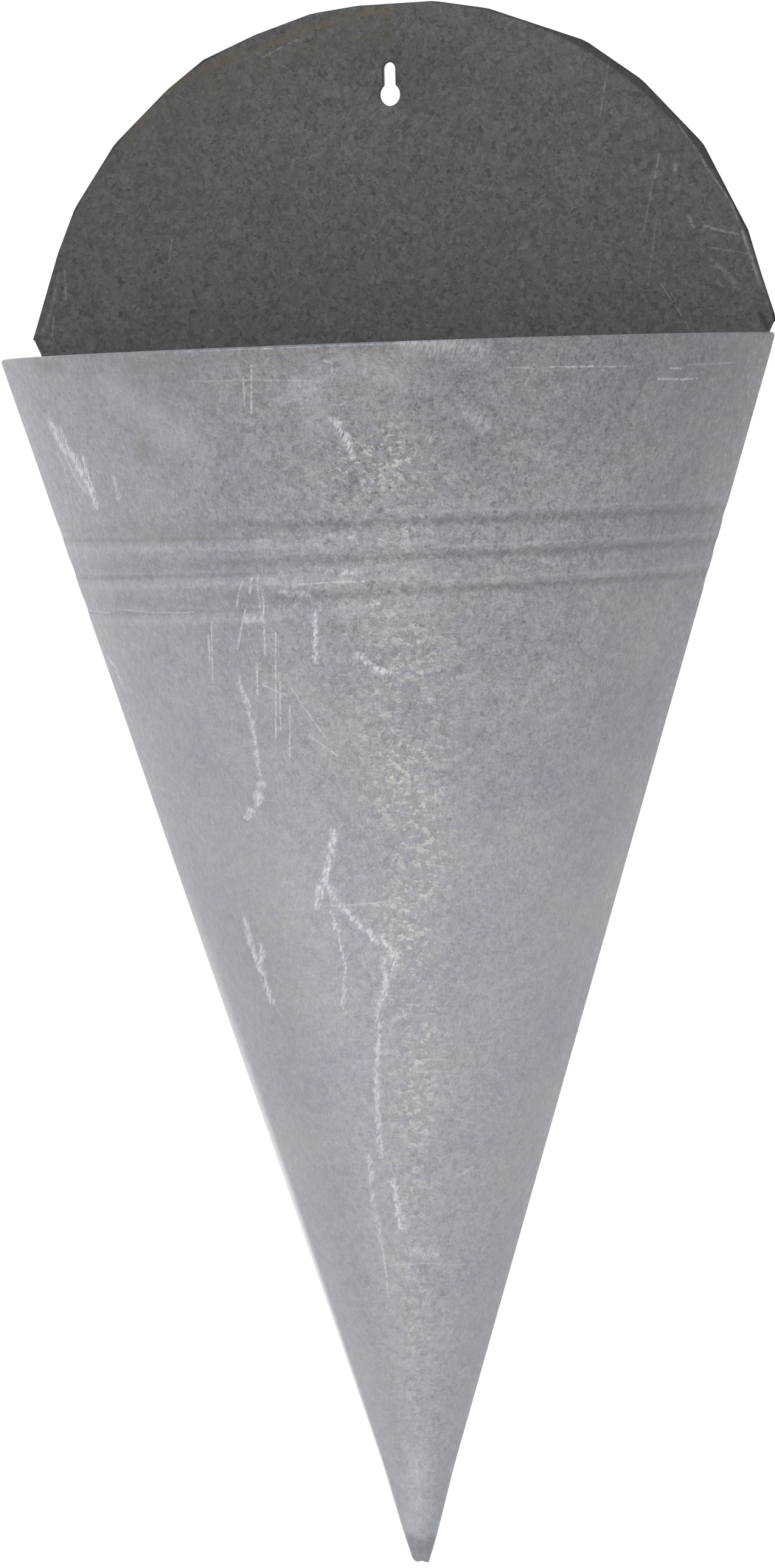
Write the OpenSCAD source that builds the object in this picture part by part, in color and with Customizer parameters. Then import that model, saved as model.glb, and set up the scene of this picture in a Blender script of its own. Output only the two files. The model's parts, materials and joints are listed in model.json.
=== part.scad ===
// Wall-hung half cone of galvanised sheet steel, open at the top, for plants or dried flowers.
// A flat back panel has a round head with a keyhole. A rolled half cone closes the front.
// Its side edges fold round the panel's long edges, and solder seals the seams and the tip.
// X runs across the front, Y points back to the wall and Z points up.
// The origin is on the keyhole's axis, in the plane of the wall.

/* [Sheet] */
// Thickness of the galvanised sheet
sheet_t = 1; // [0.6:0.1:1.4]
// Clearance between two folded layers of sheet
fold_gap = 0.1; // [0.05:0.05:0.3]

/* [Front cone] */
// Outer radius of the half cone at its rim
rim_r = 150; // [110:5:220]
// Height from the rim down to the point that both sides aim at
cone_h = 472; // [320:4:640]
// Height of that point which is left off at the tip
tip_cut = 6; // [6:0.5:12]
// Slope of the tip's end face, which rises to the front
tip_bevel = 45; // [20:5:60]
// Depth of the hem that is folded to the inside of the rim
rim_hem = 7; // [4:0.5:12]
// Width of the side folds that lie behind the back panel
seam_w = 8; // [5:0.5:14]

/* [Grooves] */
// Number of grooves pressed round the cone
groove_count = 3; // [0:1:5]
// Distance down the slope from the rim to the first groove
groove_first = 69; // [40:1:120]
// Distance down the slope from one groove to the next
groove_pitch = 13.6; // [12:0.2:24]
// Width of one groove
groove_w = 11; // [6:0.5:12]
// Depth of one groove
groove_d = 1.3; // [0.4:0.1:2]

/* [Head] */
// Height of the rim above the centre of the head's arc
head_drop = 23; // [15:1:40]
// Distance by which the shoulders stand out past the rim
shoulder_out = 1.5; // [0:0.5:10]
// Height of the shoulders above the rim, where the relief cut starts
shoulder_h = 6.5; // [4:0.5:12]
// Height above the rim at which the relief cut ends, and the panel is narrow enough to enter the cone
neck_h = 1; // [0.5:0.5:3]
// Width of the hem that is folded to the back of the head
head_hem = 6.5; // [4:0.5:12]
// Width of the blunt lower end of the back panel
panel_end_w = 3; // [2:0.5:8]

/* [Keyhole] */
// Distance from the head's top edge down to the centre of the keyhole's round hole
keyhole_down = 36; // [24:1:60]
// Radius of the keyhole's round hole
keyhole_r = 4.3; // [3.5:0.1:6]
// Width of the keyhole's slot
slot_w = 5.1; // [3:0.1:5.4]
// Height from the round hole's centre to the top of the slot
slot_top = 12.2; // [9:0.1:18]
// Wall of the collar that the punch has turned to the back
collar_t = 0.8; // [0.4:0.1:1.5]

/* [Solder] */
// Radius of the solder run in each inner corner
solder_r = 2.5; // [1.5:0.5:4]
// Height of the solder that fills the tip
solder_fill = 14; // [10:1:30]
// Clearance between the solder and the curved sheet
solder_gap = 0.05; // [0.02:0.01:0.1]

/* [Hidden] */
$fn = 144;
far = 1000;

// Folded stack of two layers, and the plane that holds the cone's axis and the panel's rear face
hem_t = 2 * sheet_t + fold_gap;
axis_back = sheet_t + fold_gap;

// Slope of the cone, and a place on its wall: s down the slope from the rim, d in from the outside
slope = atan(rim_r / cone_h);
slant = rim_r / sin(slope);
function on_wall(s, d) = [rim_r - s * sin(slope) - d * cos(slope), d * sin(slope) - s * cos(slope)];

// Depth of the pressed grooves at s, and the places down the slope where the wall's outline has points
groove_steps = 12;
groove_at = [for (i = [0 : 1 : groove_count - 1]) groove_first + i * groove_pitch];
function dip(s) = groove_d / 2 * (1 + cos(360 * s / groove_w));
function depth(s) = max(concat([0], [for (g = groove_at) abs(s - g) < groove_w / 2 ? dip(s - g) : 0]));
wall_top = hem_t / 2;
wall_end = slant - tip_cut / cos(slope);
wall_s = concat(
    [wall_top],
    [for (g = groove_at, j = [0 : groove_steps]) g + groove_w * (j / groove_steps - 0.5)],
    [wall_end]
);

// Half width of the back panel at height z over the rim, inside the cone's wall and clear of its grooves
panel_inset = (sheet_t + groove_d) / cos(slope) + fold_gap;
function panel_x(z) = rim_r * (1 + z / cone_h) - panel_inset;
panel_end = cone_h * ((panel_end_w / 2 + panel_inset) / rim_r - 1);

// Head's arc, which passes through the shoulders, its flat part inside the round edge, and the keyhole's height
shoulder = [rim_r + shoulder_out, shoulder_h];
head_r = norm(shoulder + [0, head_drop]);
flat_r = head_r - hem_t / 2;
keyhole_h = head_r - head_drop - keyhole_down;

// Lower end of the relief cut, and the height of the hem's ends, half way up that cut
neck = [panel_x(neck_h), neck_h];
hem_low = (neck_h + shoulder_h) / 2;

// Heights of the tip's lowest edge and of the top of its solder, over the rim
tip_z = tip_cut - cone_h;
fill_top = tip_z + solder_fill;

// Places what is drawn over the rim's level in the part's own frame
module over_rim() {
    translate([0, 0, -keyhole_h]) children();
}

// Stands a drawing up: its X stays, its Y points up and its height grows from the wall to the front
module upright() {
    rotate([90, 0, 0]) children();
}

module both_sides() {
    children();
    mirror([1, 0, 0]) children();
}

// Keeps the right-hand half of a section
module right_half() {
    intersection() {
        children();
        translate([0, -far]) square(2 * far);
    }
}

// Outline of the wall at a depth under its outer surface, from the rim down
function wall_line(d) = [for (s = wall_s) on_wall(s, depth(s) + d)];
function reversed(points) = [for (i = [len(points) - 1 : -1 : 0]) points[i]];

// Section of the single wall on the right-hand side, with the grooves
module wall_section() {
    right_half() polygon(concat(wall_line(0), reversed(wall_line(sheet_t))));
}

// The same with the rim's hem: a second layer inside the wall and a round fold on top of both
module hemmed_section() {
    hem_end = wall_top + rim_hem;
    layer = [for (s = [wall_top, hem_end]) on_wall(s, hem_t - sheet_t)];
    fold = [for (a = [180 : -15 : 0]) on_wall(wall_top * (1 - sin(a)), wall_top * (1 - cos(a)))];
    hem = concat(layer, [on_wall(hem_end, hem_t)], fold);
    right_half() polygon(concat(wall_line(0), reversed(wall_line(sheet_t)), hem));
}

// Half turn of a section about the cone's axis, on the front side
module half_turn() {
    translate([0, -axis_back, 0]) rotate([0, 0, 180]) rotate_extrude(angle = 180) children();
}

// Space under the sloping end face of the tip
module below_tip() {
    translate([0, 0, tip_z]) rotate([-tip_bevel, 0, 0]) translate([-far / 2, -far / 2, -far]) cube(far);
}

// Flat band behind the panel along its right-hand edge
module side_fold() {
    inside = [on_wall(wall_end, seam_w), on_wall(wall_top, seam_w)];
    right_half() polygon(concat(wall_line(0), inside));
}

// Space inside the cone's wall and in front of the panel's rear face, between two heights
module inner_space(low, high) {
    intersection() {
        half_turn() right_half() polygon(concat([[0, -cone_h], [0, 0]], wall_line(sheet_t + solder_gap)));
        translate([-far / 2, -far / 2, low]) cube([far, far, high - low]);
    }
}

// Keyhole drawn in the panel's plane, with its edge moved out by grow
module keyhole(grow) {
    slot_r = slot_w / 2;
    circle(r = keyhole_r + grow);
    translate([-slot_r - grow, 0]) square([slot_w + 2 * grow, slot_top - slot_r]);
    translate([0, slot_top - slot_r]) circle(r = slot_r + grow);
}

// Outline of the panel: the head's round edge, the relief cuts under its shoulders and the taper to the tip
module panel_outline() {
    above = 2 * shoulder - neck;
    right = [[above[0], far], above, neck, [panel_x(panel_end), panel_end]];
    left = [for (p = reversed(right)) [-p[0], p[1]]];
    intersection() {
        polygon(concat(right, left));
        union() {
            translate([0, -head_drop]) circle(r = head_r);
            translate([-far / 2, neck_h - far]) square(far);
        }
    }
}

// Turns a section over the head: its X grows out from the arc's centre and its Y from the wall to the front
module about_head() {
    translate([0, 0, -head_drop]) upright() rotate_extrude(angle = 180) children();
}

// What is left open behind the sheet: inside the hem, between the hem and the sheet, and below the head
module open_back() {
    hem_in = head_r - head_hem;
    about_head() polygon([
        [0, -hem_t], [hem_in, -hem_t], [hem_in, sheet_t], [flat_r, sheet_t], [flat_r, axis_back], [0, axis_back]
    ]);
    translate([-far / 2, -axis_back, hem_low - far]) cube(far);
}

// What is taken off the head's edge to make it round
module round_off() {
    about_head() difference() {
        translate([flat_r, -hem_t]) square([hem_t, 3 * hem_t]);
        translate([flat_r, hem_t / 2]) circle(d = hem_t, $fn = 48);
    }
}

module back_panel() {
    color("#5d605e") difference() {
        union() {
            over_rim() difference() {
                upright() linear_extrude(hem_t) panel_outline();
                open_back();
                round_off();
            }
            upright() linear_extrude(hem_t) keyhole(collar_t);
        }
        upright() translate([0, 0, -hem_t]) linear_extrude(3 * hem_t) keyhole(0);
    }
}

module front_cone() {
    color("#a6a9ae") over_rim() difference() {
        union() {
            half_turn() hemmed_section();
            both_sides() upright() linear_extrude(axis_back) wall_section();
            both_sides() upright() linear_extrude(sheet_t) side_fold();
        }
        below_tip();
    }
}

// Quarter-round run of solder in the corner of the cone's wall and the panel's front face
module seam_solder() {
    start = on_wall(wall_top + rim_hem + solder_r, sheet_t);
    over_rim() intersection() {
        translate([start[0], -hem_t, start[1]]) rotate([0, 180 + slope, 0]) cylinder(r = solder_r, h = slant);
        inner_space(fill_top, start[1]);
        translate([-far / 2, -far - hem_t, -far / 2]) cube(far);
    }
}

module left_seam_solder() {
    color("#8b8e93") mirror([1, 0, 0]) seam_solder();
}

module right_seam_solder() {
    color("#8b8e93") seam_solder();
}

module tip_solder() {
    color("#8b8e93") over_rim() difference() {
        inner_space(tip_z, fill_top);
        upright() translate([0, 0, axis_back]) linear_extrude(sheet_t) panel_outline();
        below_tip();
    }
}

back_panel();
front_cone();
left_seam_solder();
right_seam_solder();
tip_solder();
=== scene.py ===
import json
import math
from collections import namedtuple

import bmesh
import bpy
from bpy.props import FloatProperty, FloatVectorProperty, IntProperty, PointerProperty
from mathutils import Matrix, Vector, noise


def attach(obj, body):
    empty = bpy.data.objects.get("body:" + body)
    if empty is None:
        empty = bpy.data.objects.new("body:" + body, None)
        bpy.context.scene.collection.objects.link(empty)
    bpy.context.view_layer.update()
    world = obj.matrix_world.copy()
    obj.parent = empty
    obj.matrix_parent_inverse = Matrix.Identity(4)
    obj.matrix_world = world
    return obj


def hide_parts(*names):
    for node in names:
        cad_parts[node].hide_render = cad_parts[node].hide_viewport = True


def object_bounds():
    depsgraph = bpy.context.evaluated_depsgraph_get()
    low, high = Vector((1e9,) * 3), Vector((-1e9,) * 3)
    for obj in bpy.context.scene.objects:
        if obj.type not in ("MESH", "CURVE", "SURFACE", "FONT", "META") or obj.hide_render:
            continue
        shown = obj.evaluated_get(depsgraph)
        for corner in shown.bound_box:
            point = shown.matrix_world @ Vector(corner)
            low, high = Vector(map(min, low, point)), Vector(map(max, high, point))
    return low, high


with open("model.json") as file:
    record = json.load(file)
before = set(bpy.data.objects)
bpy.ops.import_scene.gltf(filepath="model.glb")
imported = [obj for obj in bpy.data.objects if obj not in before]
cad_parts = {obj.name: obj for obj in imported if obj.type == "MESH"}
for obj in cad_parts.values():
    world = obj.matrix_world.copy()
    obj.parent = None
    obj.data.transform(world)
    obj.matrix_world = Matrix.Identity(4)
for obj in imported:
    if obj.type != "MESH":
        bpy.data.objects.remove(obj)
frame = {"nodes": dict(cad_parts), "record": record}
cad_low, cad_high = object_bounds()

bl_info = {
    "name": "Galvanised Wall Cone",
    "version": (1, 0, 0),
    "blender": (4, 5, 0),
    "location": "View3D > Sidebar > Wall Cone",
    "description": "Models and finishes a wall-hung half cone of galvanised sheet steel",
    "category": "Add Mesh",
}

MM = 0.001
WHITE = (1, 1, 1, 1)

# Distance by which the finished skins lie inside the CAD's, so that nothing stands out of its box
SKIN = 0.08 * MM

# Places closer together than this are the same
NEAR = 0.001 * MM

# Angle between two faces from which their edge stays sharp
SHARP_ANGLE = math.radians(38)

# Middle of the numbers that noise and cells give
MIDDLE = (0.5, 0.5, 0.5)

# Setting that chooses what a node does, where its name isn't operation
MODES = {
    "MapRange": "interpolation_type", "MixRGB": "blend_type", "VectorRotate": "rotation_type",
    "Mapping": "vector_type",
}

# Zinc crystals of one width in millimetres: the place where they are looked up and what they give there
Crystals = namedtuple("Crystals", "width place cell random shard fern")

# Size of the photograph, in whose pixels most of the marks below are placed
PHOTO_W = 1274
PHOTO_H = 2576

# Marks on the cone and on the head. Each has its strength, its half width in millimetres and its pixels.

# Chalky smears on the cone, left by something that slid over it
CONE_CHALK = (
    (0.85, 5.50, ((84, 700), (94, 720), (106, 742))),
    (0.85, 2.00, ((97, 702), (106, 722), (112, 742))),
    (0.90, 2.00, ((112, 748), (124, 765), (132, 778))),
    (0.85, 5.50, ((118, 752), (136, 782))),
    (0.95, 3.40, ((132, 776), (146, 800), (157, 829))),
    (0.85, 1.88, ((134, 750), (146, 788), (153, 808))),
    (0.70, 1.88, ((104, 748), (120, 780), (138, 806))),
    (0.90, 2.18, ((548, 1366), (541, 1420), (530, 1450), (520, 1487))),
    (0.79, 2.75, ((538, 1450), (550, 1478))),
    (0.90, 2.07, ((560, 1487), (591, 1522), (608, 1532), (617, 1550))),
    (0.89, 1.95, ((629, 1537), (634, 1555), (648, 1565), (645, 1591))),
    (0.89, 1.73, ((633, 1583), (634, 1606), (629, 1642), (620, 1657))),
    (0.75, 1.73, ((620, 1657), (622, 1698), (619, 1790), (625, 1900))),
    (0.85, 1.27, ((545, 1498), (563, 1565), (568, 1591), (563, 1652))),
    (0.80, 2.80, ((402, 1508), (408, 1540), (415, 1565))),
    (0.80, 2.40, ((428, 1555), (432, 1572), (424, 1580))),
    (0.80, 2.80, ((416, 1568), (430, 1600), (445, 1645))),
    (0.69, 1.73, ((393, 1122), (408, 1160), (418, 1215), (426, 1271))),
    (0.79, 2.98, ((430, 1290), (422, 1318))),
    (0.79, 2.29, ((412, 1330), (404, 1344))),
    (0.55, 1.61, ((606, 1896), (612, 1970), (626, 2038))),
    (0.90, 1.90, ((646, 1940), (659, 2019))),
    (0.35, 4.00, ((680, 2056), (712, 2062))),
    (0.50, 1.84, ((95, 745), (112, 790))),
    (0.59, 1.84, ((186, 785), (195, 821))),
    # Painted highlight along a groove's lower flank
    (0.30, 2.52, ((440, 958), (500, 958))),
    (0.45, 2.29, ((462, 973), (505, 978))),
    (0.59, 2.75, ((404, 1018), (430, 1018))),
    (0.80, 1.70, ((517, 1008), (520, 1088))),
    (0.75, 2.20, ((548, 691), (566, 715), (580, 750))),
    (0.80, 2.00, ((588, 1076), (604, 1088), (618, 1100), (640, 1106))),
    (0.80, 2.60, ((177, 1082), (190, 1100), (197, 1122))),
    (0.30, 6.00, ((665, 560), (790, 575))),
    (0.26, 5.00, ((765, 680), (800, 700))),
    (0.16, 6.00, ((470, 650), (540, 620))),
)

# Thin bright scratches on the cone
CONE_SCRATCHES = (
    (0.60, 0.60, ((488, 960), (545, 957), (600, 955))),
    (0.26, 0.50, ((315, 626), (420, 624), (522, 625))),
    (0.45, 0.60, ((530, 592), (545, 596), (546, 612))),
    (0.55, 0.44, ((545, 1488), (580, 1487), (634, 1482))),
    (0.62, 0.66, ((398, 955), (391, 975), (386, 997))),
    (0.55, 0.90, ((413, 951), (410, 976))),
    (0.42, 0.60, ((423, 945), (424, 1000))),
    (0.58, 0.70, ((401, 1003), (397, 1030), (390, 1066))),
    (0.62, 0.60, ((430, 975), (436, 1076))),
    (0.62, 0.48, ((347, 1022), (349, 1120))),
    (0.57, 0.77, ((342, 1045), (344, 1084))),
    (0.48, 0.60, ((626, 2038), (633, 2080), (638, 2130))),
    (0.30, 0.70, ((642, 2078), (700, 2075), (765, 2078))),
    (0.36, 0.70, ((750, 1934), (779, 1917))),
    (0.40, 0.70, ((755, 2257), (768, 2247))),
    (0.34, 0.90, ((685, 2398), (686, 2432))),
    (0.68, 0.48, ((453, 1040), (453, 1211))),
    (0.51, 0.59, ((460, 1120), (461, 1200))),
    (0.57, 0.51, ((476, 1157), (476, 1249))),
    (0.68, 0.59, ((422, 1092), (423, 1140))),
    (0.51, 0.77, ((393, 1108), (396, 1136))),
    (0.51, 0.48, ((478, 1131), (534, 1211))),
    (0.51, 0.48, ((432, 1126), (470, 1142))),
    (0.62, 0.51, ((509, 1209), (555, 1242))),
    (0.47, 0.59, ((413, 600), (413, 680))),
    (0.41, 0.51, ((400, 620), (402, 668))),
    (0.62, 0.59, ((905, 603), (975, 602))),
    (0.35, 0.50, ((985, 602), (1035, 602))),
    (0.30, 0.51, ((835, 604), (870, 604))),
    (0.62, 0.68, ((1083, 623), (1146, 622))),
    (0.72, 0.48, ((1103, 605), (1120, 605))),
    (0.38, 0.48, ((1132, 599), (1209, 595))),
    (0.72, 0.51, ((143, 1002), (160, 1006), (178, 1008))),
    (0.47, 0.48, ((200, 1003), (316, 1007))),
)

# Soft brown stains on the cone
CONE_STAINS = (
    (0.20, 1.8, ((300, 588), (560, 574), (800, 566))),
    (0.28, 5.0, ((62, 598), (96, 600))),
    (0.22, 5.0, ((216, 600), (300, 598))),
    (0.16, 8.0, ((225, 690), (238, 740))),
    (0.16, 2.6, ((215, 879), (345, 882))),
)

# Painted highlights on the cone, as soft pale clouds
CONE_SHEEN_CLOUDS = (
    (0.12, 9.0, ((684, 2400), (688, 2495))),
    (0.13, 12.0, ((185, 640), (285, 715))),
    (0.10, 9.0, ((500, 640), (520, 700))),
    (0.08, 9.0, ((560, 600), (640, 620))),
)

# Soft shade on the cone. Each has its strength, its half width in millimetres and its two ends, as shares of
# a quarter turn to the right and millimetres down the slope.
CONE_SHADE = (
    (0.35, 1.6, ((-0.40, 0), (1.00, 0))),
    (0.22, 34, ((-0.95, 10), (-0.80, 40))),
    (0.14, 45, ((-0.70, 0), (0.90, 0))),
    (0.20, 30, ((0.14, 35), (0.36, 35))),
    (0.12, 70, ((0.24, 120), (0.24, 470))),
    (0.13, 60, ((-0.25, 240), (-0.05, 430))),
)

# Painted shade in each groove, which is dusty too, and painted highlights along its ridges. Each has its
# strength, its half width, its distance below the groove's middle, both in millimetres, and its two ends as
# shares of a quarter turn to the right.
GROOVE_DUST_AND_SHADE = (
    (0.13, 4.4, -1.6, -0.80, 0.00),
    (0.20, 3.8, -1.8, 0.00, 0.30),
    (0.34, 3.2, -2.0, 0.30, 1.00),
    (0.30, 1.5, 2.4, -0.95, 0.10),
)
# Painted highlights along the grooves' ridges
GROOVE_HIGHLIGHTS = (
    (0.15, 2.0, 5.6, -0.95, 0.30),
    (0.13, 1.2, -6.0, 0.30, 1.00),
)

# Scratches and worn lines on the head
HEAD_SCRATCHES = (
    (0.14, 0.75, ((1115, 205), (1135, 232), (1147, 248), (1161, 274), (1178, 298), (1202, 333), (1220, 380))),
    (0.19, 1.05, ((1220, 380), (1235, 424), (1250, 469))),
    (0.18, 0.85, ((1158, 371), (1185, 379), (1214, 385))),
    (0.11, 0.60, ((1164, 406), (1190, 410), (1230, 417))),
    (0.14, 1.20, ((1131, 355), (1140, 372))),
    (0.08, 1.80, ((1168, 424), (1195, 450), (1215, 475))),
    (0.14, 0.45, ((1087, 467), (1131, 535))),
    (0.12, 0.45, ((1102, 480), (1132, 540))),
    (0.10, 0.60, ((1000, 104), (993, 148), (986, 192))),
    (0.16, 0.62, ((1084, 252), (1076, 292))),
    (0.12, 0.52, ((1073, 300), (1058, 380))),
    (0.15, 1.50, ((1110, 270), (1109, 279))),
    (0.08, 0.52, ((1079, 360), (1065, 469))),
    (0.16, 0.45, ((282, 394), (278, 430))),
    (0.14, 0.45, ((430, 95), (462, 78), (490, 65))),
    (0.10, 1.35, ((97, 450), (88, 490), (78, 530))),
    (0.14, 0.75, ((106, 445), (108, 490))),
    (0.10, 1.65, ((80, 516), (72, 542))),
    (0.14, 0.60, ((88, 520), (86, 552))),
)

# Corners of the short straight stretches in which the head's edge is folded, between its shoulders
HEAD_CORNERS = (
    (1252, 450), (1230, 377), (1156, 235), (1055, 130), (962, 66), (802, 13), (713, 1), (588, 9),
    (512, 22), (419, 57), (334, 98), (275, 147), (188, 237), (123, 342), (95, 417),
)

# Rust near the head's edge
HEAD_RUST = (
    (0.85, 3.2, ((262, 158), (290, 138), (335, 113), (400, 88), (450, 68), (510, 46), (570, 28), (640, 16))),
    (0.55, 4.5, ((268, 154), (240, 192), (212, 234))),
    (0.42, 13.0, ((270, 190), (340, 140), (420, 112), (520, 78), (620, 50))),
)

# Painted shadow at the head's shoulders, beside the cone's rim
HEAD_SHOULDER_SHADOWS = (
    (0.70, 2.2, ((1252, 518), (1262, 538))),
    (0.30, 2.5, ((60, 556), (66, 568))),
)


def linear(code):
    """Turns an sRGB colour such as "#a9abb0" to the linear values that shaders use."""
    parts = [int(code[i:i + 2], 16) / 255 for i in (1, 3, 5)]
    return tuple(p / 12.92 if p <= 0.04045 else ((p + 0.055) / 1.055) ** 2.4 for p in parts)


def rgba(colour):
    return (*colour, 1.0)


class SheetSettings(bpy.types.PropertyGroup):
    thickness: FloatProperty(
        name="Sheet thickness", description="Thickness of the galvanised sheet",
        default=1 * MM, unit="LENGTH", subtype="DISTANCE")
    fold_gap: FloatProperty(
        name="Fold gap", description="Clearance between two folded layers",
        default=0.1 * MM, unit="LENGTH", subtype="DISTANCE")


class ConeSettings(bpy.types.PropertyGroup):
    rim_radius: FloatProperty(
        name="Rim radius", description="Outer radius of the half cone at its rim",
        default=150 * MM, unit="LENGTH", subtype="DISTANCE")
    height: FloatProperty(
        name="Height", description="Height from the rim to the point that both sides aim at",
        default=472 * MM, unit="LENGTH", subtype="DISTANCE")
    tip_cut: FloatProperty(
        name="Tip cut", description="Height left off at the point",
        default=6 * MM, unit="LENGTH", subtype="DISTANCE")
    tip_bevel: FloatProperty(
        name="Tip bevel", description="Slope of the tip's end face, which rises to the front",
        default=math.radians(45), subtype="ANGLE")
    hem: FloatProperty(
        name="Rim hem", description="Depth of the hem inside the rim",
        default=7 * MM, unit="LENGTH", subtype="DISTANCE")
    side_fold: FloatProperty(
        name="Side fold", description="Width of the folds behind the back panel",
        default=8 * MM, unit="LENGTH", subtype="DISTANCE")
    fold_radius: FloatProperty(
        name="Fold radius", description="Outer radius of the bend where a side fold starts",
        default=0.5 * MM, unit="LENGTH", subtype="DISTANCE")
    groove_count: IntProperty(
        name="Grooves", description="Number of grooves pressed round the cone", default=3)
    groove_first: FloatProperty(
        name="First groove", description="Distance down the slope from the rim to the first groove",
        default=69 * MM, unit="LENGTH", subtype="DISTANCE")
    groove_pitch: FloatProperty(
        name="Groove pitch", description="Distance down the slope from one groove to the next",
        default=13.6 * MM, unit="LENGTH", subtype="DISTANCE")
    groove_width: FloatProperty(
        name="Groove width", description="Width of one groove",
        default=11 * MM, unit="LENGTH", subtype="DISTANCE")
    groove_depth: FloatProperty(
        name="Groove depth", description="Depth of one groove where it is pressed fully",
        default=1.3 * MM, unit="LENGTH", subtype="DISTANCE")
    rim_skew: FloatProperty(
        name="Rim skew", description="Rise of the rim's right end, as made by hand",
        default=2.1 * MM, unit="LENGTH", subtype="DISTANCE")
    groove_skew: FloatVectorProperty(
        name="Groove skew", description="Rise of each groove's right end, as made by hand",
        default=(1.3 * MM, 2.7 * MM, 3.8 * MM), size=3, subtype="XYZ_LENGTH")
    dent_depth: FloatProperty(
        name="Dent depth", description="Depth of the shallow dents that use has left",
        default=0.35 * MM, unit="LENGTH", subtype="DISTANCE")
    dent_size: FloatProperty(
        name="Dent size", description="Usual width of one of those dents",
        default=75 * MM, unit="LENGTH", subtype="DISTANCE")
    tip_swell: FloatProperty(
        name="Tip swell", description="Thickness of the solder that was wiped over the tip",
        default=0.9 * MM, unit="LENGTH", subtype="DISTANCE")


class PanelSettings(bpy.types.PropertyGroup):
    head_drop: FloatProperty(
        name="Head drop", description="Height of the rim above the centre of the head's arc",
        default=23 * MM, unit="LENGTH", subtype="DISTANCE")
    shoulder_out: FloatProperty(
        name="Shoulder", description="Distance by which the shoulders stand out past the rim",
        default=1.5 * MM, unit="LENGTH", subtype="DISTANCE")
    shoulder_height: FloatProperty(
        name="Shoulder height", description="Height of the shoulders above the rim",
        default=6.5 * MM, unit="LENGTH", subtype="DISTANCE")
    neck_height: FloatProperty(
        name="Neck height", description="Height above the rim at which the relief cut ends",
        default=1 * MM, unit="LENGTH", subtype="DISTANCE")
    hem: FloatProperty(
        name="Head hem", description="Width of the hem behind the head's edge",
        default=6.5 * MM, unit="LENGTH", subtype="DISTANCE")
    hem_step: FloatProperty(
        name="Hem step", description="Depth to which the front is drawn down over the hem",
        default=0.1 * MM, unit="LENGTH", subtype="DISTANCE")
    end_width: FloatProperty(
        name="Lower end", description="Width of the panel's blunt lower end",
        default=3 * MM, unit="LENGTH", subtype="DISTANCE")
    hole_radius: FloatProperty(
        name="Keyhole radius", description="Radius of the keyhole's round hole",
        default=frame["record"]["mounts"][0]["dims"]["r_mm"] * MM, unit="LENGTH", subtype="DISTANCE")
    slot_width: FloatProperty(
        name="Slot width", description="Width of the keyhole's slot",
        default=5.1 * MM, unit="LENGTH", subtype="DISTANCE")
    slot_top: FloatProperty(
        name="Slot top", description="Height from the round hole's centre to the top of the slot",
        default=12.2 * MM, unit="LENGTH", subtype="DISTANCE")
    punch_round: FloatProperty(
        name="Punched edge", description="Roll-over of the keyhole's front edge",
        default=0.35 * MM, unit="LENGTH", subtype="DISTANCE")


class SolderSettings(bpy.types.PropertyGroup):
    radius: FloatProperty(
        name="Solder radius", description="Radius of the solder run in each inner corner",
        default=2.5 * MM, unit="LENGTH", subtype="DISTANCE")
    lumps: FloatProperty(
        name="Lumps", description="Share of its radius by which a hand-drawn run shrinks between its lumps",
        default=0.35, subtype="FACTOR")
    ripple: FloatProperty(
        name="Ripple", description="Usual length of one lump",
        default=7 * MM, unit="LENGTH", subtype="DISTANCE")


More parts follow.
